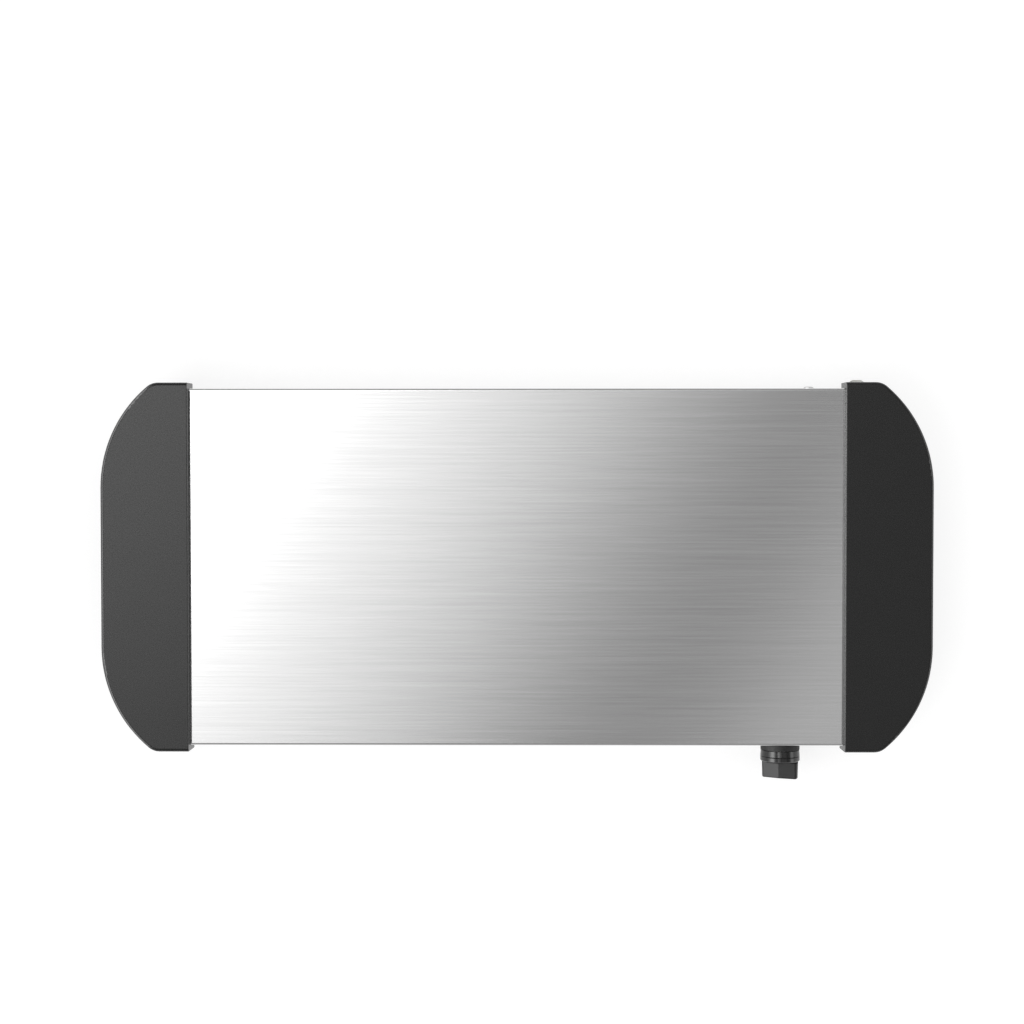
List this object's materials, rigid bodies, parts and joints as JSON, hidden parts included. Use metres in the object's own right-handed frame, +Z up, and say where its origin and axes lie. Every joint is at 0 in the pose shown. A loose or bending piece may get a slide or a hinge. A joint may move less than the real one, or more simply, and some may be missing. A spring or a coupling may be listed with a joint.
{
  "type": "warming plate",
  "caption": "Long electric warming plate: flat brushed steel surface between two D-shaped black handles, with a rotary control on the front edge and rubber feet.",
  "frame": {"origin": "on the standing surface, under the middle of the whole product with its knob and gland", "axes": "+X along the plate towards the end with the knob and cord, -Y out of the front with the knob, +Z up"},
  "size_m": [0.5994, 0.2918, 0.059],
  "materials": {
    "plate_steel": "brushed along its length",
    "zinc_sheet": "plain zinc-plated",
    "black_moulding": "fine satin",
    "knob_moulding": "satin gloss",
    "foot_rubber": "matte",
    "aluminium_sheet": "plain",
    "element_sheath": "heat-darkened",
    "mineral_wool": "fibrous",
    "white_ceramic": "unglazed",
    "screw_steel": "zinc-plated",
    "spring_brass": "plain",
    "natural_nylon": "natural",
    "lens_plastic": "clear amber",
    "lead_black": "silicone sleeve",
    "lead_white": "silicone sleeve",
    "lead_earth": "silicone sleeve"
  },
  "bodies": {
    "tray": {"top_plate": "plate_steel", "base_plate": "zinc_sheet", "right_end_plate": "zinc_sheet", "left_end_plate": "zinc_sheet", "right_end_cap": "black_moulding", "left_end_cap": "black_moulding", "right_cap_cover": "black_moulding", "left_cap_cover": "black_moulding", "heat_spreader": "aluminium_sheet", "heating_element": "element_sheath", "element_seals": "white_ceramic", "element_pins": "screw_steel", "element_clamps": "zinc_sheet", "clamp_studs": "screw_steel", "clamp_nuts": "screw_steel", "heat_shield": "aluminium_sheet", "insulation_blanket": "mineral_wool", "feet": "foot_rubber", "foot_screws": "screw_steel", "foot_nuts": "screw_steel", "base_screws": "screw_steel", "cap_screws": "screw_steel", "cover_screws": "screw_steel", "thermostat_plate": "zinc_sheet", "knob_bezel": "knob_moulding", "thermostat_screws": "screw_steel", "ceramic_spacers": "white_ceramic", "contact_spring": "spring_brass", "contact_arm": "spring_brass", "bimetal_blade": "screw_steel", "stack_rivet": "screw_steel", "silver_contacts": "screw_steel", "pilot_lens": "lens_plastic", "pilot_lamp_body": "black_moulding", "pilot_nut": "natural_nylon", "earth_screw": "screw_steel", "earth_nut": "screw_steel", "earth_tag": "spring_brass", "cord_gland": "natural_nylon", "terminal_block": "white_ceramic", "terminal_screws": "spring_brass", "lead_grommet": "foot_rubber", "thermal_fuse": "screw_steel", "fuse_clip": "aluminium_sheet", "live_lead": "lead_black", "load_lead": "lead_black", "fuse_lead": "lead_black", "neutral_lead": "lead_white", "earth_lead": "lead_earth", "lamp_load_lead": "lead_black", "lamp_neutral_lead": "lead_white"},
    "knob": {"control_knob": "knob_moulding", "thermostat_spindle": "screw_steel"}
  },
  "joints": [
    {"name": "knob_turn", "type": "hinge", "parent": "tray", "child": "knob", "pos_m": [0.1932, -0.1193, 0.034], "axis": [0, 1, 0], "range_deg": [0, 250]}
  ]
}
